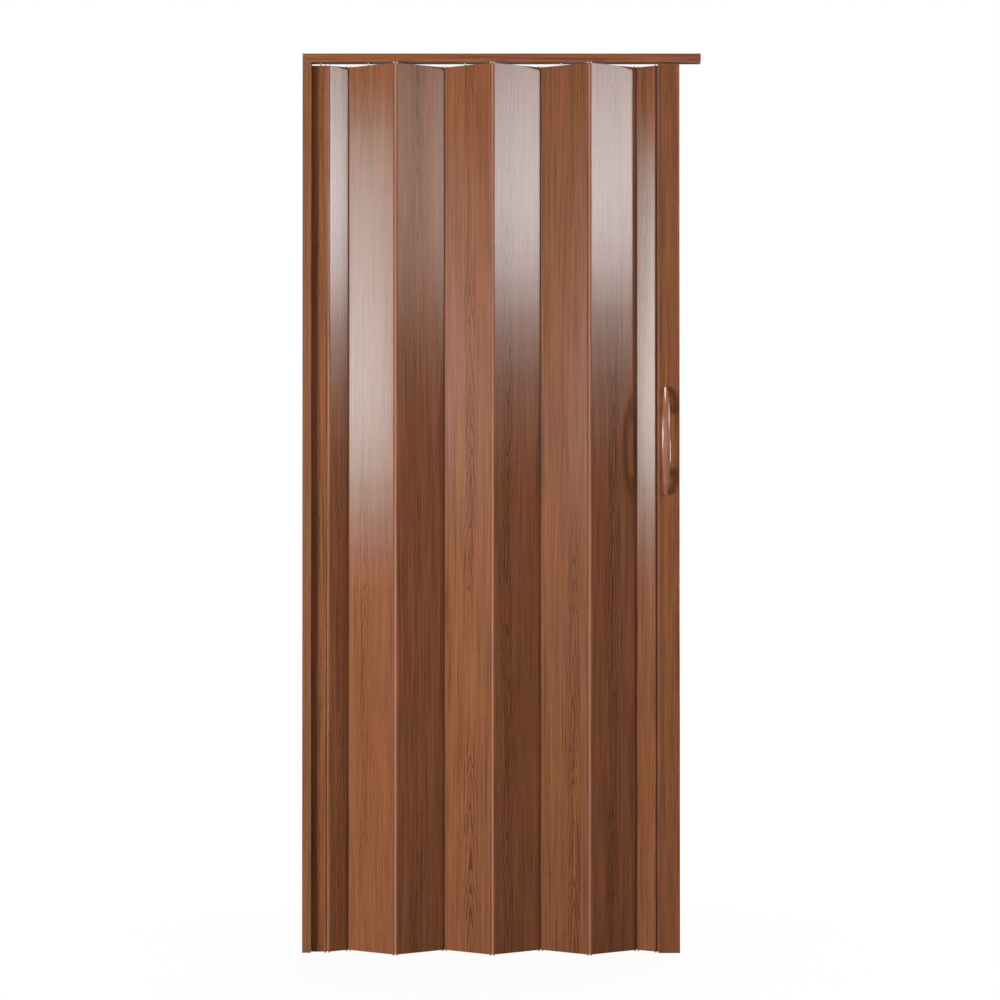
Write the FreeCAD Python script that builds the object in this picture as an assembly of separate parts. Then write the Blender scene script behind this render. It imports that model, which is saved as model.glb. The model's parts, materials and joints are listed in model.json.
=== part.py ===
import FreeCAD, Part
import math
import os

# Accordion door of hollow slats, in millimetres.
# The origin is the middle of the track's top face: X runs along the track to the lead post,
# Y runs from the viewer to the back and Z is up.

# Track and jamb
track_length = 900.0
track_height = 20.0
track_depth = 28.0
track_wall = 1.8
door_height = 2030.0            # track top to slat bottoms
head_gap = 5.0                  # track underside to slat tops
jamb_width = 20.0
jamb_wall = 1.8
jamb_lip = 3.0                  # how far the starter strip's grip ribs stop short of the jamb's mouth
rib_wall = 1.4
screw_hole = 4.5                # installer's screws, in track and jamb
track_hole_spacing = 780.0
track_inner_hole_spacing = 260.0
jamb_hole_spacing = 1760.0
jamb_inner_hole_spacing = 600.0

# Slats
slat_pairs = 3
slat_span = 117.5               # bead centre to bead centre
half_slat_span = 43.8
slat_thickness = 6.5
slat_skin = 1.0
slat_web = 1.0
chamber_pitch = 20.0            # largest chamber between two inner webs

# Fold angles between a slat and the track
closed_angle = 22.4
rest_angle = 30.0
stacked_angle = 87.0

# Hinge strips: two round beads joined by a thin web
bead_radius = 2.0
bead_clearance = 0.05
bead_nub = 2.5                  # beads stick out above and below the slats
fold_chord = 7.4                # bead to bead across a fold
web_thickness = 1.1
web_leave_angle = 55.0          # between the arched web and the chord, at a bead
web_clearance = 0.3             # web to the lips of a slat's socket

# Hangers
pin_offset = 6.0                # hanger pin from the point of a slat that stays in the pivot plane
pin_radius = 2.0
pin_shank_radius = 1.3
pin_head_radius = 3.2
pin_head_height = 1.4
pin_clearance = 0.03
slot_clearance = 0.45           # pin to the track's slot at the ends of its wander
lip_bearing = 0.7               # least seat of a glider on each lip of the track
glider_height = 5.0
glider_rim = 1.0                # chamfer round a glider's edges
glide_gap = 0.2
plug_width = 14.0
plug_height = 30.0

# Starter strip
starter_width = 48.3            # its square edge to its bead
starter_end_gap = 1.2

# Lead post
post_width = 48.9
post_depth = 23.0
post_wall = 1.6
post_corner = 3.0
post_socket_inset = 3.3         # post's left face to its bead
post_socket_wall = 1.5
post_cap = 2.0
post_cap_spigot = 14.0
post_gap = 2.0                  # track underside to the post's top cap
post_drop = 1.0                 # post's bottom cap below the slat bottoms
post_pin_inset = 9.3            # post's left face to the first hanger pin
post_pin_spacing = 27.2

# Handles
handle_inset = 17.0             # post's left face to the handle's middle
handle_drop = 876.0             # track top to the handle's middle
handle_length = 244.0
handle_width = 20.0
handle_rise = 36.0              # crown of the bow off the post
handle_tip_rise = 9.0           # tips of the bow off the post
handle_bow = 7.0                # thickness of the bow
handle_crown = 14.0             # radius of the bow's face across its width
handle_tip_width = 8.0          # across the bow where its rounded ends begin
handle_tip_round = 3.0          # how far a rounded end stands beyond that
foot_spacing = 143.3
foot_width = 10.0
foot_height = 20.0
screw_radius = 2.0
screw_head_radius = 3.8
screw_head_height = 3.0
screw_clearance = 0.15
screw_bite = 15.0               # how far a screw runs into the front handle's foot
screw_tip_gap = 1.0             # bore left free beyond a screw's tip

# Cutters run past the faces that they open by this much
cut_past = 1.0

# Worked out from the sizes above
socket_radius = bead_radius + bead_clearance
edge_radius = slat_thickness / 2
slat_top = -track_height - head_gap
slat_bottom = -door_height
web_radius = fold_chord / 2 / math.sin(math.radians(web_leave_angle))
strip_length = 2 * web_radius * math.radians(web_leave_angle)
sine_closed = math.sin(math.radians(closed_angle))
sine_stacked = math.sin(math.radians(stacked_angle))
pivot_plane = pin_offset * (sine_closed + sine_stacked) / 2     # keeps the pins' wander even about Y = 0
pin_wander = pin_offset * (sine_stacked - sine_closed) / 2
pin_at = half_slat_span + pin_offset                            # hanger pin from a slat's rear bead
track_slot = 2 * (pin_radius + pin_wander + slot_clearance)
glider_radius = track_slot / 2 + pin_wander + lip_bearing
lip_top = -track_height + track_wall
glider_bottom = lip_top + glide_gap
glider_top = glider_bottom + glider_height
jamb_back = -track_length / 2
starter_left = jamb_back + jamb_wall + starter_end_gap
starter_bead = starter_left + starter_width
left_pivot = starter_bead + strip_length
post_top = -track_height - post_gap - post_cap
post_bottom = slat_bottom - post_drop + post_cap
chamber_depth = slat_thickness - 2 * slat_skin
cut_bottom = slat_bottom - cut_past
cut_top = slat_top + cut_past
bow_sag = handle_rise - handle_tip_rise
bow_radius = ((handle_length / 2) ** 2 + bow_sag ** 2) / (2 * bow_sag)


def vec(x, y, z):
    return FreeCAD.Vector(x, y, z)


def box(x0, x1, y0, y1, z0, z1):
    return Part.makeBox(x1 - x0, y1 - y0, z1 - z0, vec(x0, y0, z0))


def rod(x, y, z0, z1, radius):
    return Part.makeCylinder(radius, z1 - z0, vec(x, y, z0))


def rod_along_y(x, z, y0, y1, radius):
    return Part.makeCylinder(radius, y1 - y0, vec(x, y0, z), vec(0, 1, 0))


def joined(shapes):
    return shapes[0].fuse(shapes[1:]).removeSplitter()


def save(name, *shapes):
    shape = shapes[0] if len(shapes) == 1 else Part.makeCompound(list(shapes))
    shape.exportStep("parts/" + name + ".step")


def turned(shape, angle, x, y):
    # a section drawn at the origin, turned about Z and carried to its place
    copy = shape.copy()
    copy.rotate(vec(0, 0, 0), vec(0, 0, 1), angle)
    copy.translate(vec(x, y, 0))
    return copy


def flipped(shape):
    # the same profile turned end for end
    return shape.mirror(vec(0, 0, 0), vec(0, 1, 0))


def web_spread(radius, side):
    # angle of the arched web's face, with its clearance, where it crosses a circle round the bead
    middle = math.degrees(math.asin(radius / (2 * web_radius)))
    half = math.degrees(math.asin((web_thickness / 2 + web_clearance) / radius))
    return web_leave_angle - middle + side * half


def flat_spread():
    return math.degrees(math.asin((web_thickness / 2 + web_clearance) / socket_radius))


# Socket mouths: angles from the slat's outward direction, positive to the side that a web leaves on
fold_mouth = (web_spread(edge_radius, -1) - stacked_angle, web_spread(socket_radius, 1) - closed_angle)
pivot_mouth = (closed_angle - flat_spread(), stacked_angle + flat_spread())
fixed_mouth = (-flat_spread(), flat_spread())


def mouth(x, y, first, last, z0, z1):
    # wedge that opens a socket between two directions, wide enough to leave the rounded edge
    reach = 2 * edge_radius
    steps = 4
    points = [vec(x, y, z0)]
    for i in range(steps + 1):
        a = math.radians(first + (last - first) * i / steps)
        points.append(vec(x + reach * math.cos(a), y + reach * math.sin(a), z0))
    points.append(points[0])
    return Part.Face(Part.makePolygon(points)).extrude(vec(0, 0, z1 - z0))


def chamber_edges(start, end):
    # even chambers with inner webs between them
    count = max(1, math.ceil((end - start) / chamber_pitch))
    wide = (end - start - (count - 1) * slat_web) / count
    return [(start + i * (wide + slat_web), start + i * (wide + slat_web) + wide) for i in range(count)]


def chambers(edges):
    half = chamber_depth / 2
    return [box(a, b, -half, half, cut_bottom, cut_top) for a, b in edges]


def bead_socket(x, y, first, last, z0, z1):
    return [rod(x, y, z0, z1, socket_radius), mouth(x, y, first, last, z0, z1)]


def slat_body(span):
    # flat hollow board whose long edges are rounded about the bead centres
    body = box(0, span, -edge_radius, edge_radius, slat_bottom, slat_top)
    ends = [rod(x, 0, slat_bottom, slat_top, edge_radius) for x in (0, span)]
    return joined([body] + ends)


def slat_profile():
    # bead at 0 belongs to a rear fold, bead at slat_span to a front fold
    low, high = fold_mouth
    plug = (pin_at - plug_width / 2, pin_at + plug_width / 2)
    edges = chamber_edges(edge_radius, plug[0] - slat_web)
    edges += [plug]
    edges += chamber_edges(plug[1] + slat_web, slat_span - edge_radius)
    cuts = chambers(edges)
    cuts += bead_socket(0, 0, 180 - high, 180 - low, cut_bottom, cut_top)
    cuts += bead_socket(slat_span, 0, -high, -low, cut_bottom, cut_top)
    return slat_body(slat_span).cut(cuts)


def half_slat_profile():
    # bead at 0 turns on a fixed strip, bead at half_slat_span belongs to a rear fold
    cuts = chambers(chamber_edges(edge_radius, half_slat_span - edge_radius))
    cuts += bead_socket(0, 0, 180 - pivot_mouth[1], 180 - pivot_mouth[0], cut_bottom, cut_top)
    cuts += bead_socket(half_slat_span, 0, fold_mouth[0], fold_mouth[1], cut_bottom, cut_top)
    return slat_body(half_slat_span).cut(cuts)


def beads(x0, x1):
    return [rod(x, 0, slat_bottom - bead_nub, slat_top + bead_nub, bead_radius) for x in (x0, x1)]


def fold_strip(outward):
    # web arched away from the fold, outward is the sign of Y on its round side
    half = web_thickness / 2
    centre = -outward * web_radius * math.cos(math.radians(web_leave_angle))
    ring = rod(0, centre, slat_bottom, slat_top, web_radius + half)
    ring = ring.cut(rod(0, centre, slat_bottom, slat_top, web_radius - half))
    side = sorted((0, outward * 2 * web_radius))
    web = ring.common(box(-2 * web_radius, 2 * web_radius, side[0], side[1], slat_bottom, slat_top))
    return joined(beads(-fold_chord / 2, fold_chord / 2) + [web])


def flat_strip():
    # the same strip where it lies flat, beads at 0 and strip_length
    half = web_thickness / 2
    web = box(0, strip_length, -half, half, slat_bottom, slat_top)
    return joined(beads(0, strip_length) + [web])


def track():
    half = track_depth / 2
    long = track_length / 2
    channel = box(-long, long, -half, half, -track_height, 0)
    inner = box(-long, long, track_wall - half, half - track_wall, lip_top, -track_wall)
    slot = box(-long, long, -track_slot / 2, track_slot / 2, -track_height, lip_top)
    holes = []
    for spacing in (track_hole_spacing, track_inner_hole_spacing):
        holes += [rod(x, 0, -track_wall, 0, screw_hole / 2) for x in (-spacing / 2, spacing / 2)]
    # notch beside the slot for the starter strip's pin, which stands in the pivot plane
    notch_x = starter_left + starter_pin()
    notch = rod(notch_x, pivot_plane, -track_height, lip_top, pin_radius + slot_clearance)
    return channel.cut([inner, slot, notch] + holes)


def jamb():
    half = track_depth / 2
    bottom, top = slat_bottom, -track_height
    front = jamb_back + jamb_width
    channel = box(jamb_back, front, -half, half, bottom, top)
    inner = box(jamb_back + jamb_wall, front, jamb_wall - half, half - jamb_wall, bottom, top)
    ribs = []
    for y in (pivot_plane - edge_radius - rib_wall, pivot_plane + edge_radius):
        ribs.append(box(jamb_back, front - jamb_lip, y, y + rib_wall, bottom, top))
    hole_y = (jamb_wall - half + pivot_plane - edge_radius - rib_wall) / 2
    middle = (bottom + top) / 2
    holes = []
    for spacing in (jamb_hole_spacing, jamb_inner_hole_spacing):
        for z in (middle - spacing / 2, middle + spacing / 2):
            start = vec(jamb_back, hole_y, z)
            holes.append(Part.makeCylinder(screw_hole / 2, jamb_wall, start, vec(1, 0, 0)))
    print("jamb holes at y", round(hole_y, 3), "middle z", middle)
    return joined([channel.cut(inner)] + ribs).cut(holes)


def starter():
    # square edge at 0 in the jamb, bead at starter_width
    body = box(0, starter_width, -edge_radius, edge_radius, slat_bottom, slat_top)
    edge = rod(starter_width, 0, slat_bottom, slat_top, edge_radius)
    low = starter_pin() - plug_width / 2
    edges = chamber_edges(slat_skin, low - slat_web) + [(low, low + plug_width)]
    cuts = chambers(edges)
    cuts += bead_socket(starter_width, 0, fixed_mouth[0], fixed_mouth[1], cut_bottom, cut_top)
    return joined([body, edge]).cut(cuts)


def starter_pin():
    # the plug chamber lies next to the bead's socket
    return starter_width - edge_radius - slat_web - plug_width / 2


def plug(x):
    # fills the top of a slat's chamber and holds the pin's shank
    half = chamber_depth / 2
    block = box(x - plug_width / 2, x + plug_width / 2, -half, half, slat_top - plug_height, slat_top)
    return block.cut(rod(x, 0, slat_top - plug_height, slat_top, pin_shank_radius + pin_clearance))


def pin(x, y, seat, shank):
    # shank down into its plug, stem through the slot, spigot through the glider, head on top
    parts = [rod(x, y, seat - shank, seat, pin_shank_radius)]
    parts.append(rod(x, y, seat, glider_bottom, pin_radius))
    parts.append(rod(x, y, glider_bottom, glider_top, pin_shank_radius))
    parts.append(rod(x, y, glider_top, glider_top + pin_head_height, pin_head_radius))
    return joined(parts)


def glider(x, y):
    disc = rod(x, y, glider_bottom, glider_top, glider_radius)
    disc = disc.makeChamfer(glider_rim, [e for e in disc.Edges if e.Closed])
    return disc.cut(rod(x, y, glider_bottom, glider_top, pin_shank_radius + pin_clearance))


def slat_hanger(name, x, angle, x0, y0):
    shank = plug_height - 2 * slat_skin
    save(name + "_plug", turned(plug(x), angle, x0, y0))
    save(name + "_pin", turned(pin(x, 0, slat_top, shank), angle, x0, y0))
    save(name + "_glider", turned(glider(x, 0), angle, x0, y0))


def post_outline(x0, z0, z1):
    half = post_depth / 2
    block = box(x0, x0 + post_width, -half, half, z0, z1)
    upright = [e for e in block.Edges if abs(e.Vertexes[0].Z - e.Vertexes[-1].Z) > 1e-6]
    return block.makeFillet(post_corner, upright)


def post_chambers(x0, z0, z1, gap):
    # two chambers on either side of an inner web, behind the socket wall
    left = x0 + post_socket_inset + socket_radius + post_socket_wall
    right = x0 + post_width - post_wall
    middle = x0 + post_pin_inset + post_pin_spacing / 2
    half = post_depth / 2 - post_wall - gap
    spans = ((left, middle - post_wall / 2), (middle + post_wall / 2, right))
    return [box(a + gap, b - gap, -half, half, z0, z1) for a, b in spans]


def post_socket(x0, z0, z1):
    x = x0 + post_socket_inset
    return bead_socket(x, pivot_plane, 180 + fixed_mouth[0], 180 + fixed_mouth[1], z0, z1)


def post_screws(x0):
    middle = -handle_drop
    return [(x0 + handle_inset, middle - foot_spacing / 2), (x0 + handle_inset, middle + foot_spacing / 2)]


def post(x0):
    z0, z1 = post_bottom, post_top
    cuts = post_chambers(x0, z0, z1, 0) + post_socket(x0, z0, z1)
    for x, z in post_screws(x0):
        cuts.append(rod_along_y(x, z, -post_depth, post_depth, screw_radius + screw_clearance))
    return post_outline(x0, z0, z1).cut(cuts)


def post_end(x0, plate, spigot, bores):
    # cap plate with two spigots in the post's chambers, notched round the hinge bead
    parts = [post_outline(x0, plate[0], plate[1])]
    parts += post_chambers(x0, spigot[0], spigot[1], pin_clearance)
    return joined(parts).cut(post_socket(x0, plate[0], plate[1]) + bores)


def bow_rise(z):
    # outer face of the bow off the post, at a height from its middle
    return handle_rise - bow_radius + math.sqrt(bow_radius ** 2 - z ** 2)


def leaf(x, y0, y1):
    # front view of the bow: two long arcs joined by a short one at each tip
    half_long = handle_length / 2
    half_wide = handle_width / 2
    half_tip = handle_tip_width / 2
    side_end = half_long - handle_tip_round

    def arc(*places):
        return Part.Arc(*[vec(x + dx, y0, dz - handle_drop) for dx, dz in places]).toShape()

    right = arc((half_tip, -side_end), (half_wide, 0), (half_tip, side_end))
    top = arc((half_tip, side_end), (0, half_long), (-half_tip, side_end))
    left = arc((-half_tip, side_end), (-half_wide, 0), (-half_tip, -side_end))
    bottom = arc((-half_tip, -side_end), (0, -half_long), (half_tip, -side_end))
    return Part.Face(Part.Wire([right, top, left, bottom])).extrude(vec(0, y1 - y0, 0))


def drum(x, side, radius):
    # cylinder across the door, centred where the bow is
    centre = side * (post_depth / 2 + handle_rise - bow_radius)
    start = vec(x - handle_width, centre, -handle_drop)
    return Part.makeCylinder(radius, 2 * handle_width, start, vec(1, 0, 0))


def crown(x, side):
    # ring across the door whose outside is the crowned face of the bow
    centre = side * (post_depth / 2 + handle_rise - bow_radius)
    middle = vec(x, centre, -handle_drop)
    return Part.makeTorus(bow_radius - handle_crown, handle_crown, middle, vec(1, 0, 0))


def handle(x, side):
    # side is -1 on the front of the post and 1 on its back
    face = side * post_depth / 2
    reach = sorted((face, face + side * (handle_rise + cut_past)))
    blank = leaf(x, reach[0], reach[1]).common(crown(x, side))
    parts = [blank.cut(drum(x, side, bow_radius - handle_bow))]
    foot_end = drum(x, side, bow_radius - handle_bow / 2)
    for z in (-handle_drop - foot_spacing / 2, -handle_drop + foot_spacing / 2):
        straight = (foot_height - foot_width) / 2
        foot = box(x - foot_width / 2, x + foot_width / 2, reach[0], reach[1], z - straight, z + straight)
        ends = [rod_along_y(x, z + d, reach[0], reach[1], foot_width / 2) for d in (-straight, straight)]
        parts.append(joined([foot] + ends).common(foot_end))
    return joined(parts)


def screw_seat():
    # underside of a screw's head, off the back of the post
    return bow_rise(foot_spacing / 2) - handle_bow


def front_handle(x0):
    face = -post_depth / 2
    tip = face - screw_bite - screw_tip_gap
    bores = [rod_along_y(x, z, tip, face, screw_radius + pin_clearance) for x, z in post_screws(x0)]
    return handle(x0 + handle_inset, -1).cut(bores)


def rear_handle(x0):
    face = post_depth / 2
    cuts = []
    for x, z in post_screws(x0):
        cuts.append(rod_along_y(x, z, face, face + handle_rise, screw_radius + screw_clearance))
        head = screw_head_radius + screw_clearance
        cuts.append(rod_along_y(x, z, face + screw_seat(), face + handle_rise, head))
    return handle(x0 + handle_inset, 1).cut(cuts)


def handle_screws(x0):
    face = post_depth / 2
    out = []
    for x, z in post_screws(x0):
        seat = face + screw_seat()
        shank = rod_along_y(x, z, -face - screw_bite, seat, screw_radius)
        head = rod_along_y(x, z, seat, seat + screw_head_height, screw_head_radius)
        out.append(joined([shank, head]))
    return out


def build_frame():
    save("top_track", track())
    save("wall_jamb", jamb())
    save("starter_strip", turned(starter(), 0, starter_left, pivot_plane))
    save("starter_hinge", turned(flat_strip(), 0, starter_bead, pivot_plane))
    slat_hanger("starter", starter_pin(), 0, starter_left, pivot_plane)


def build_leaf():
    # walks along the zigzag from the left pivot, and gives the right pivot back
    cosine = math.cos(math.radians(rest_angle))
    sine = math.sin(math.radians(rest_angle))
    profile = slat_profile()
    half_profile = half_slat_profile()
    x, y = left_pivot, pivot_plane
    save("half_slat_left", turned(half_profile, rest_angle, x, y))
    x += half_slat_span * cosine
    y += half_slat_span * sine
    for i in range(2 * slat_pairs):
        to_front = i % 2 == 0
        side = "rear" if to_front else "front"
        name = "slat_" + str(i + 1)
        strip = fold_strip(1 if to_front else -1)
        print("hinge", side, i // 2 + 1, "first bead at", round(x, 3), round(y, 3))
        save("hinge_" + side + "_" + str(i // 2 + 1), turned(strip, 0, x + fold_chord / 2, y))
        x += fold_chord
        if to_front:
            save(name, turned(profile, -rest_angle, x, y))
            slat_hanger(name, pin_at, -rest_angle, x, y)
            y -= slat_span * sine
        else:
            save(name, turned(flipped(profile), rest_angle, x, y))
            y += slat_span * sine
        x += slat_span * cosine
    print("hinge rear", slat_pairs + 1, "first bead at", round(x, 3), round(y, 3))
    save("hinge_rear_" + str(slat_pairs + 1), turned(fold_strip(1), 0, x + fold_chord / 2, y))
    x += fold_chord + half_slat_span * cosine
    half_right = half_profile.mirror(vec(0, 0, 0), vec(1, 0, 0))
    save("half_slat_right", turned(half_right, -rest_angle, x, pivot_plane))
    return x


def build_post(pivot):
    socket = pivot + strip_length
    x0 = socket - post_socket_inset
    print("pivots at x", round(left_pivot, 3), round(pivot, 3), "y", round(pivot_plane, 3))
    print("post from x", round(x0, 3))
    pins = [x0 + post_pin_inset, x0 + post_pin_inset + post_pin_spacing]
    bore = pin_shank_radius + pin_clearance
    cap_top = post_top + post_cap
    bores = [rod(x, 0, post_top - post_cap_spigot, cap_top, bore) for x in pins]
    save("lead_post", post(x0))
    save("post_hinge", turned(flat_strip(), 0, pivot, pivot_plane))
    save("post_top_cap", post_end(x0, (post_top, cap_top), (post_top - post_cap_spigot, post_top), bores))
    bottom_spigot = (post_bottom, post_bottom + post_cap_spigot)
    save("post_bottom_cap", post_end(x0, (post_bottom - post_cap, post_bottom), bottom_spigot, []))
    save("post_pins", *[pin(x, 0, cap_top, post_cap_spigot) for x in pins])
    save("post_gliders", *[glider(x, 0) for x in pins])
    save("front_handle", front_handle(x0))
    save("rear_handle", rear_handle(x0))
    save("handle_screws", *handle_screws(x0))


os.makedirs("parts", exist_ok=True)
build_frame()
build_post(build_leaf())
print("slot", round(track_slot, 3), "glider radius", round(glider_radius, 3), "wander", round(pin_wander, 3))
print("fold mouth", fold_mouth, "pivot mouth", pivot_mouth)
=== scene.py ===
import json
import math
import bpy
import numpy as np
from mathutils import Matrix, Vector

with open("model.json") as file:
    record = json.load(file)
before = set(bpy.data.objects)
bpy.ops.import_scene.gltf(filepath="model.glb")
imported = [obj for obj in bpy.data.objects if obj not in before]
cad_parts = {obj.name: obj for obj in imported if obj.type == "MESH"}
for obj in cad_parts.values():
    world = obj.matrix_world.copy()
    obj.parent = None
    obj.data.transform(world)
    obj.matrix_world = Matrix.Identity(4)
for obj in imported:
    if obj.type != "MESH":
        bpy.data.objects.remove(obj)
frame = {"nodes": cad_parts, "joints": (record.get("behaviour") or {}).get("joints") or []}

scene = bpy.context.scene
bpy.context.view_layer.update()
nodes = frame["nodes"]
jointAt = {j["child"]: j["pos_m"] for j in frame["joints"]}
print("frame loaded:", len(nodes), "nodes")


class Sock:
    # a shader socket that takes part in Python arithmetic
    def __init__(self, tree, out):
        self.tree = tree
        self.out = out

    def add(self, kind, settings, inputs, output=0):
        node = self.tree.nodes.new(kind)
        for key, value in settings.items():
            setattr(node, key, value)
        for key, value in inputs.items():
            if isinstance(value, Sock):
                self.tree.links.new(value.out, node.inputs[key])
            else:
                node.inputs[key].default_value = value
        return Sock(self.tree, node.outputs[output])

    def math(self, operation, *values):
        inputs = dict(enumerate(values))
        return self.add("ShaderNodeMath", {"operation": operation}, inputs)

    def __add__(self, other):
        return self.math("ADD", self, other)

    __radd__ = __add__

    def __sub__(self, other):
        return self.math("SUBTRACT", self, other)

    def __rsub__(self, other):
        return self.math("SUBTRACT", other, self)

    def __mul__(self, other):
        return self.math("MULTIPLY", self, other)

    __rmul__ = __mul__

    def __truediv__(self, other):
        return self.math("DIVIDE", self, other)

    def __rtruediv__(self, other):
        return self.math("DIVIDE", other, self)

    def __pow__(self, other):
        return self.math("POWER", self, other)

    def __rpow__(self, other):
        return self.math("POWER", other, self)

    def fract(self):
        return self.math("FRACT", self)

    def root(self):
        return self.math("SQRT", self)

    def most(self, other):
        return self.math("MAXIMUM", self, other)

    def between(self, low, high):
        # 0 below low, 1 above high and a smooth ramp between them
        settings = {"clamp": True, "interpolation_type": "SMOOTHSTEP"}
        return self.add("ShaderNodeMapRange", settings, {0: self, 1: low, 2: high, 3: 0.0, 4: 1.0})

    def vector(self, y, z):
        return self.add("ShaderNodeCombineXYZ", {}, {0: self, 1: y, 2: z})

    def noise(self, detail, rough=0.5):
        # self is a vector
        inputs = {"Vector": self, "Scale": 1.0, "Detail": detail, "Roughness": rough}
        return self.add("ShaderNodeTexNoise", {"noise_dimensions": "3D"}, inputs)

    def colour(self, first, second):
        # self is the share of the second colour
        inputs = {0: self, 6: first, 7: second}
        return self.add("ShaderNodeMix", {"data_type": "RGBA"}, inputs, 2)


class Finish:
    # a material with its shader and the object coordinates that its pattern reads
    def __init__(self, name, constants):
        self.material = bpy.data.materials.new(name)
        self.material.use_nodes = True
        self.tree = self.material.node_tree
        self.shader = self.tree.nodes["Principled BSDF"]
        for key, value in constants.items():
            self.shader.inputs[key].default_value = value
        start = Sock(self.tree, None)
        place = start.add("ShaderNodeTexCoord", {}, {}, "Object")
        self.x = place.add("ShaderNodeSeparateXYZ", {}, {0: place}, 0)
        self.y = Sock(self.tree, self.x.out.node.outputs[1])
        self.z = Sock(self.tree, self.x.out.node.outputs[2])

    def feed(self, **inputs):
        for key, value in inputs.items():
            self.tree.links.new(value.out, self.shader.inputs[key.replace("_", " ")])

    def relief(self, height, distance, strength):
        inputs = {"Height": height, "Distance": distance, "Strength": strength}
        self.feed(Normal=height.add("ShaderNodeBump", {}, inputs))

    def cover(self, *names):
        for name in names:
            slots = nodes[name].data.materials
            slots.clear()
            slots.append(self.material)


# Wood print: noises over the board, with scales per metre across and along it and a seed of their own
noises = {
    "sway": {"across": 9.0, "along": 1.3, "seed": 0.0, "detail": 1.0, "rough": 0.5},
    "fine": {"across": 900.0, "along": 9.0, "seed": 3.1, "detail": 2.0, "rough": 0.6},
    "lines": {"across": 430.0, "along": 4.0, "seed": 1.7, "detail": 2.0, "rough": 0.6},
    "bands": {"across": 190.0, "along": 4.0, "seed": 8.6, "detail": 2.0, "rough": 0.5},
    "patch": {"across": 95.0, "along": 5.0, "seed": 11.3, "detail": 2.0, "rough": 0.5},
    "pores": {"across": 420.0, "along": 45.0, "seed": 5.9, "detail": 1.0, "rough": 0.5},
    "ragged": {"across": 150.0, "along": 9.0, "seed": 2.2, "detail": 2.0, "rough": 0.5},
}
# noises that change only along the board
slow = {
    "bend": {"along": 3.0, "seed": 9.0, "detail": 1.0},
    "drift": {"along": 5.0, "seed": 6.0, "detail": 1.0},
    "shown": {"along": 1.6, "seed": 4.4, "detail": 1.0},
}
# how much each noise tells, and the limits between which its ramp runs
grain = {
    "sway": 0.014, "fine": 0.62, "lines": 1.75, "bands": 0.55, "pores": 0.18, "poreRamp": (0.56, 0.72),
    "patchRamp": (0.36, 0.64), "base": 0.2, "darkRamp": (-0.35, 1.0),
    "bend": 0.02, "ragged": 0.09, "drift": 0.26, "blunt": 1.0e-6, "sharp": 4.0,
    "widthRamp": (0.00004, 0.0004), "shownRamp": (0.36, 0.56),
    "gloss": 0.1, "glossChange": 0.03, "depth": 0.0002, "strength": 0.02,
}
noiseMean = 0.5
plastic = {"IOR": 1.5}


def wood(name, across, along, look):
    # printed grain: streaks, pores, red and yellow patches, and nested pointed arches along the board
    f = Finish(name, plastic)
    u = f.x * across[0] + f.y * across[1] + f.z * across[2] + across[3]
    v = f.x * along[0] + f.z * along[1]

    def cloud(key, place):
        n = noises[key]
        spot = (place * n["across"]).vector(v * n["along"], look["seed"] + n["seed"])
        return spot.noise(n["detail"], n["rough"])

    def wave(key):
        n = slow[key]
        return (v * n["along"]).vector(look["seed"] + n["seed"], 0.0).noise(n["detail"])

    w = u + (cloud("sway", u) - noiseMean) * grain["sway"]
    fine = cloud("fine", w) - noiseMean
    lines = cloud("lines", w) - noiseMean
    bands = cloud("bands", w) - noiseMean
    streaks = fine * grain["fine"] + lines * grain["lines"] + bands * grain["bands"]
    pores = cloud("pores", w).between(*grain["poreRamp"])
    # arches: each is dark at its rim and pales inwards; a rim is where the height plus the slope times the
    # distance from the middle of the figure is a whole number of steps
    off = w - look["middle"] + (wave("bend") - noiseMean) * grain["bend"]
    ragged = (cloud("ragged", w) - noiseMean) * grain["ragged"]
    drift = (wave("drift") - noiseMean) * grain["drift"]
    reach = (off * off + grain["blunt"]).root() * look["slope"] + v * look["point"] + ragged + drift
    rim = (1.0 - (reach / look["step"]).fract()) ** grain["sharp"]
    inside = 1.0 - (off * off).between(*grain["widthRamp"])
    figure = rim * inside * wave("shown").between(*grain["shownRamp"])
    dark = grain["base"] + streaks * look["streak"] + figure * look["figure"] + pores * grain["pores"]
    brown = cloud("patch", w).between(*grain["patchRamp"]).colour(look["red"], look["yellow"])
    f.print = dark.between(*grain["darkRamp"]).colour(brown, look["dark"])
    f.gloss = grain["gloss"] + grain["glossChange"] * fine
    f.feed(Base_Color=f.print, Roughness=f.gloss)
    f.relief(fine, grain["depth"], grain["strength"])
    return f


def toned(look):
    # the common browns, lighter or darker by the board's own tone
    browns = {"red": (0.3, 0.1, 0.049), "yellow": (0.276, 0.108, 0.041), "dark": (0.1, 0.033, 0.017)}
    tone = look.get("tone", 1.0)
    shades = {key: (*np.multiply(shade, tone).tolist(), 1.0) for key, shade in browns.items()}
    return {"slope": 11.0, "step": 0.08, "point": 1, "streak": 1.0, "figure": 1.0, **shades, **look}


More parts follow.
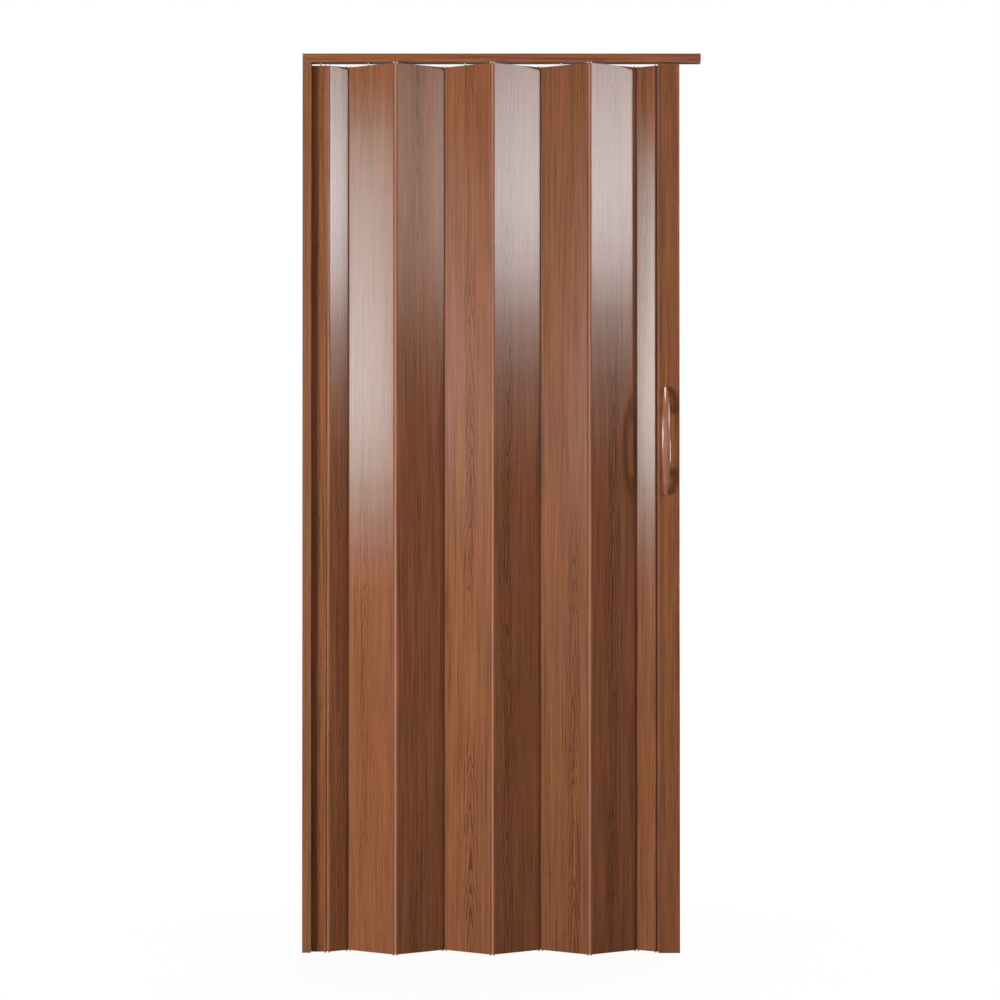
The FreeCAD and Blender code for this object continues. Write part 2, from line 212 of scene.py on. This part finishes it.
# Slats: the print is counted along each slat from its first bead
restAngle = math.radians(30.0)
slats = {
    "half_slat_left": {"turn": 1, "seed": 2.0, "middle": 0.022, "figure": 0.4},
    "slat_1": {"turn": -1, "seed": 13.0, "middle": 0.042, "streak": 0.75, "figure": 0.5},
    "slat_2": {"turn": 1, "seed": 29.0, "middle": 0.05, "slope": 14.0, "step": 0.1},
    "slat_3": {"turn": -1, "seed": 41.0, "middle": 0.064, "slope": 9.0, "step": 0.075, "figure": 1.1},
    "slat_4": {"turn": 1, "seed": 57.0, "middle": 0.034, "point": -1, "streak": 0.85, "figure": 0.9},
    "slat_5": {"turn": -1, "seed": 73.0, "middle": 0.082, "tone": 0.94},
    "slat_6": {"turn": 1, "seed": 88.0, "middle": 0.056, "slope": 12.0, "figure": 1.1},
    "half_slat_right": {"turn": -1, "seed": 96.0, "middle": 0.02, "figure": 0.4},
}
upright = (0.0, 1.0)  # the print runs up the board
level = (1.0, 0.0)  # the print runs along the track
for name, look in slats.items():
    x0, y0 = jointAt[name][:2]
    c, s = math.cos(restAngle), look["turn"] * math.sin(restAngle)
    wood(name + "_print", (c, s, 0.0, -c * x0 - s * y0), upright, toned(look)).cover(name)
print("slats printed")

# Jamb, starter strip, post and track: across is the share of x, y and z in the width, and its start
plain = {"slope": 18.0, "figure": 0.4}
boards = {
    "wall_jamb": {
        "across": (1.0, 0.6, 0.0, 0.45), "along": upright, "seed": 5.0, "middle": 0.03,
        "streak": 0.65, "tone": (0.95, 1.07, 1.07),
    },
    "starter_strip": {
        "across": (1.0, 0.5, 0.0, 0.447), "along": upright, "seed": 17.0, "middle": 0.036,
        "tone": (1.08, 1.04, 0.98),
    },
    "lead_post": {
        "across": (1.0, 0.7, 0.0, -0.3536), "along": upright, "seed": 33.0, "middle": 0.03, "tone": 1.02,
    },
    "top_track": {
        "across": (0.0, 0.7, 1.0, 0.02), "along": level, "seed": 49.0, "middle": 0.04, "tone": 1.1,
    },
}
printed = {}
for name, look in boards.items():
    printed[name] = wood(name + "_print", look["across"], look["along"], toned({**plain, **look}))
    printed[name].cover(name)

# Below the track's lower edges the print gives way to painted shade, a very dark brown, and the surface
# turns matt
trackUnderShade = {"colour": (0.06, 0.022, 0.013, 1.0), "matt": 0.6, "edge": (-0.0199, -0.0194)}
f = printed["top_track"]
# painted shade on the track's underside
painted_under_shade = 1.0 - f.z.between(*trackUnderShade["edge"])
f.feed(Base_Color=painted_under_shade.colour(f.print, trackUnderShade["colour"]), Roughness=f.gloss + painted_under_shade * trackUnderShade["matt"])

# The post's edge beside its hinge is dull, and a little darker with painted shade
edge = {"dull": 0.45, "reach": (0.3545, 0.3575), "shade": 0.35, "fade": (0.36, 0.37)}
f = printed["lead_post"]
# painted shade: the print darkens towards the post's edge beside the hinge
painted_hinge_shade = (1.0 - f.x.between(*edge["fade"])) * edge["shade"]
f.feed(Base_Color=painted_hinge_shade.colour(f.print, toned({})["dark"]))
f.feed(Roughness=f.gloss + (1.0 - f.x.between(*edge["reach"])) * edge["dull"])
print("boards printed")


def mottled(name, look, constants):
    # a plain finish whose colour and roughness change a little with one noise
    f = Finish(name, constants)
    sx, sy, sz = look["scale"]
    pattern = (f.x * sx).vector(f.y * sy, f.z * sz).noise(look["detail"])
    f.tint = pattern.between(*look["ramp"]).colour(look["light"], look["deep"])
    f.feed(Base_Color=f.tint, Roughness=look["rough"] + look["roughChange"] * pattern)
    if "relief" in look:
        f.relief(pattern, *look["relief"])
    f.cover(*look["nodes"])
    return f


# Hinge strips: plain soft plastic; the upper bead ends are paler, a painted highlight of light from above
strip = {
    "nodes": [n for n in nodes if "hinge" in n],
    "light": (0.46, 0.2, 0.13, 1.0), "deep": (0.39, 0.165, 0.105, 1.0), "ramp": (0.3, 0.7),
    "scale": (900.0, 900.0, 3.0), "detail": 2.0, "relief": (0.0002, 0.1),
    "rough": 0.4, "roughChange": 0.12,
    "end": (0.62, 0.5, 0.43, 1.0), "endRamp": (-0.0252, -0.0245),
}
f = mottled("hinge_strip", strip, plastic)
# painted highlight: the upper bead ends are paler as if lit from above
f.feed(Base_Color=f.z.between(*strip["endRamp"]).colour(f.tint, strip["end"]))

# Handles: glossy moulded plastic with faint flow marks
handle = {
    "nodes": ["front_handle", "rear_handle"],
    "light": (0.36, 0.145, 0.088, 1.0), "deep": (0.28, 0.108, 0.065, 1.0), "ramp": (0.3, 0.7),
    "scale": (120.0, 120.0, 14.0), "detail": 3.0, "relief": (0.0003, 0.01),
    "rough": 0.1, "roughChange": 0.06,
}
mottled("handle_plastic", handle, plastic)

# Caps of the post
cap = {
    "nodes": ["post_top_cap", "post_bottom_cap"],
    "light": (0.17, 0.075, 0.045, 1.0), "deep": (0.11, 0.045, 0.027, 1.0), "ramp": (0.3, 0.7),
    "scale": (1500.0, 1500.0, 1500.0), "detail": 2.0, "relief": (0.0002, 0.15),
    "rough": 0.4, "roughChange": 0.15,
}
mottled("cap_plastic", cap, plastic)

# Nylon plugs and gliders
nylon = {
    "nodes": [n for n in nodes if n.endswith(("_glider", "_gliders", "_plug"))],
    "light": (0.8, 0.78, 0.73, 1.0), "deep": (0.68, 0.65, 0.58, 1.0), "ramp": (0.35, 0.65),
    "scale": (260.0, 260.0, 260.0), "detail": 3.0,
    "rough": 0.36, "roughChange": 0.14,
}
mottled("nylon", nylon, {"IOR": 1.53})

# Zinc plated pins and screws
steel = {
    "nodes": [n for n in nodes if n.endswith(("_pin", "_pins")) or n == "handle_screws"],
    "light": (0.78, 0.78, 0.78, 1.0), "deep": (0.62, 0.62, 0.62, 1.0), "ramp": (0.3, 0.7),
    "scale": (700.0, 700.0, 700.0), "detail": 2.0,
    "rough": 0.24, "roughChange": 0.2,
}
mottled("zinc_steel", steel, {"Metallic": 0.5})
print("fittings finished")

# Floor patch just under the door, white to the camera; its shading and the shadow fade towards the rim
ground = {
    "half": 1.2, "height": -2.04, "colour": (0.9, 0.9, 0.9, 1.0), "matt": 0.9,
    "shade": 0.07, "fade": (0.3, 1.1),
}
white = (1.0, 1.0, 1.0, 1.0)
r, h = ground["half"], ground["height"]
sheet = bpy.data.meshes.new("floor")
sheet.from_pydata([(-r, -r, h), (r, -r, h), (r, r, h), (-r, r, h)], [], [(0, 1, 2, 3)])
floor = bpy.data.objects.new("floor", sheet)
scene.collection.objects.link(floor)
floor.visible_glossy = floor.visible_diffuse = False
f = Finish("floor_white", {"Base Color": ground["colour"], "Roughness": ground["matt"]})
path = f.x.add("ShaderNodeLightPath", {}, {})
seen = path.most(Sock(f.tree, path.out.node.outputs["Is Transmission Ray"]))
glow = seen.add("ShaderNodeEmission", {}, {"Color": white, "Strength": 1.0})
cloth = Sock(f.tree, f.shader.outputs[0])
kept = (1.0 - (f.x * f.x + f.y * f.y).root().between(*ground["fade"])) * ground["shade"]
mixed = seen.add("ShaderNodeMixShader", {}, {0: seen * (1.0 - kept), 1: cloth, 2: glow})
f.tree.links.new(mixed.out, f.tree.nodes["Material Output"].inputs["Surface"])
sheet.materials.append(f.material)

# World: white to the camera, pale behind the door and a dim studio in front of it
air = {"fill": 0.03, "front": 0.03, "rear": 0.3, "turn": (-0.1, 0.3)}
world = bpy.data.worlds.new("studio")
world.use_nodes = True
scene.world = world
tree = world.node_tree
path = Sock(tree, None).add("ShaderNodeLightPath", {}, {})
rays = ("Is Camera Ray", "Is Glossy Ray", "Is Transmission Ray")
camera, glossy, through = [Sock(tree, path.out.node.outputs[ray]) for ray in rays]
direction = path.add("ShaderNodeTexCoord", {}, {}, "Generated")
depth = path.add("ShaderNodeSeparateXYZ", {}, {0: direction}, 1)
room = depth.between(*air["turn"]) * (air["rear"] - air["front"]) + air["front"]
shiny = glossy.most(through)
unseen = shiny * room + (1.0 - shiny) * air["fill"]
strength = camera + (1.0 - camera) * unseen
tree.links.new(strength.out, tree.nodes["Background"].inputs["Strength"])
tree.nodes["Background"].inputs["Color"].default_value = white
print("floor and world ready")


def lamp(name, place, aim, wide, high, power, colour=(1.0, 1.0, 1.0)):
    # soft rectangular lamp that faces the point it is aimed at
    data = bpy.data.lights.new(name, "AREA")
    data.shape = "RECTANGLE"
    data.size, data.size_y = wide, high
    data.energy = power
    data.color = colour
    made = bpy.data.objects.new(name, data)
    scene.collection.objects.link(made)
    made.location = place
    toward = (Vector(aim) - Vector(place)).normalized()
    made.rotation_mode = "QUATERNION"
    made.rotation_quaternion = toward.to_track_quat("-Z", "Y")
    return made


eye = -1.0057  # height of the camera
# Strip lamps stand to each side, where the slats mirror them. Each column is set by how far it reaches
# across that direction; up the column the glow follows the shares given at heights over the eye.
strips = {
    "left": {
        "side": -1,
        "columns": [
            {"reach": (-0.64, -0.2), "glow": 9.1, "colour": (0.76, 0.96, 1.0)},
            {"reach": (-0.2, 0.06), "glow": 0.8, "colour": (1.0, 0.94, 0.86)},
            {"reach": (0.315, 0.7), "glow": 13.2, "colour": (0.81, 0.98, 1.0)},
        ],
        "heights": [-0.28, -0.04, 0.17, 0.38, 0.59, 1.0, 1.2, 1.36],
        "shares": [0.0, 0.3, 0.83, 1.0, 0.94, 0.67, 0.38, 0.0],
    },
    "right": {
        "side": 1,
        "columns": [
            {"reach": (-0.5, 0.085), "glow": 10.7, "colour": (0.96, 0.98, 1.0)},
            {"reach": (0.085, 0.21), "glow": 2.9, "colour": (1.0, 0.76, 0.62)},
            {"reach": (0.21, 0.34), "glow": 1.5, "colour": (1.0, 0.76, 0.62)},
            {"reach": (0.34, 0.7), "glow": 13.9, "colour": (0.96, 0.98, 1.0)},
        ],
        "heights": [0.1, 0.38, 0.59, 0.8, 1.0, 1.21, 1.42, 1.65],
        "shares": [0.0, 0.08, 0.26, 0.75, 1.0, 0.94, 0.75, 0.5],
    },
}
away = 3.0
rows = 14
for name, look in strips.items():
    lean = look["side"] * 2 * restAngle
    edges = np.linspace(look["heights"][0], look["heights"][-1], rows + 1)
    middles = (edges[:-1] + edges[1:]) / 2
    shares = np.interp(middles, look["heights"], look["shares"])
    tall = float(edges[1] - edges[0])
    for column in look["columns"]:
        first, last = column["reach"]
        step, wide = (first + last) / 2, last - first
        for above, share in zip(middles.tolist(), shares.tolist()):
            height = eye + above
            aim = (-look["side"] * step * math.cos(lean), -step * abs(math.sin(lean)), height)
            place = (aim[0] + away * math.sin(lean), aim[1] - away * math.cos(lean), height)
            power = column["glow"] * share * math.pi * wide * tall
            lamp(name, place, aim, wide, tall, power, column["colour"])

# These give light and shadows only: key from the left, soft front lamp and counter from the right
plainLamps = {
    "key": {"place": (-3.264, -2.643, -1.05), "aim": (0.0, 0.0, -1.0), "size": 1.5, "power": 187.0},
    "front": {"place": (-1.0, -4.4, -1.0), "aim": (0.0, 0.0, -1.0), "size": 2.0, "power": 26.0},
    "counter": {"place": (4.27, -2.25, 0.08), "aim": (0.2, 0.0, -0.9), "size": 0.35, "power": 61.0},
}
for name, look in plainLamps.items():
    made = lamp(name, look["place"], look["aim"], look["size"], look["size"], look["power"])
    made.visible_glossy = False

# These give highlights only, on the rims of the post and the handle: from the right, the left and overhead
shineLamps = {
    "rim": {"place": (3.28, -0.75, -1.16), "aim": (0.37, -0.03, -1.16), "size": (0.7, 0.68), "power": 22.0},
    "glint": {
        "place": (-2.515, -0.539, -0.59), "aim": (0.37, -0.03, -0.59), "size": (0.6, 0.88), "power": 27.0,
    },
    "top": {"place": (-0.2, -1.98, 1.51), "aim": (0.37, -0.05, -0.79), "size": (0.9, 1.0), "power": 44.0},
}
for name, look in shineLamps.items():
    made = lamp(name, look["place"], look["aim"], *look["size"], look["power"])
    made.visible_diffuse = False

# One large lamp lights the door from behind
back = {"place": (1.5, 3.5, 0.5), "aim": (0.0, 0.0, -1.0), "size": 5.0, "power": 240.0}
lamp("back", back["place"], back["aim"], back["size"], back["size"], back["power"])
print("lamps set")

# Camera at the photograph's place: level with the middle of the door and pitched up a little
view = {
    "place": (-0.00376, -5.73296, eye), "pitch": 0.00789,
    "lens": 91.208, "sensor": 36.0, "shift": -0.02159,
}
data = bpy.data.cameras.new("camera")
data.sensor_width = view["sensor"]
data.lens = view["lens"]
data.shift_y = view["shift"]
eyeObject = bpy.data.objects.new("camera", data)
scene.collection.objects.link(eyeObject)
eyeObject.location = view["place"]
eyeObject.rotation_euler = (math.pi / 2 + view["pitch"], 0.0, 0.0)
scene.camera = eyeObject
scene.view_settings.view_transform = "Standard"
print("camera set")
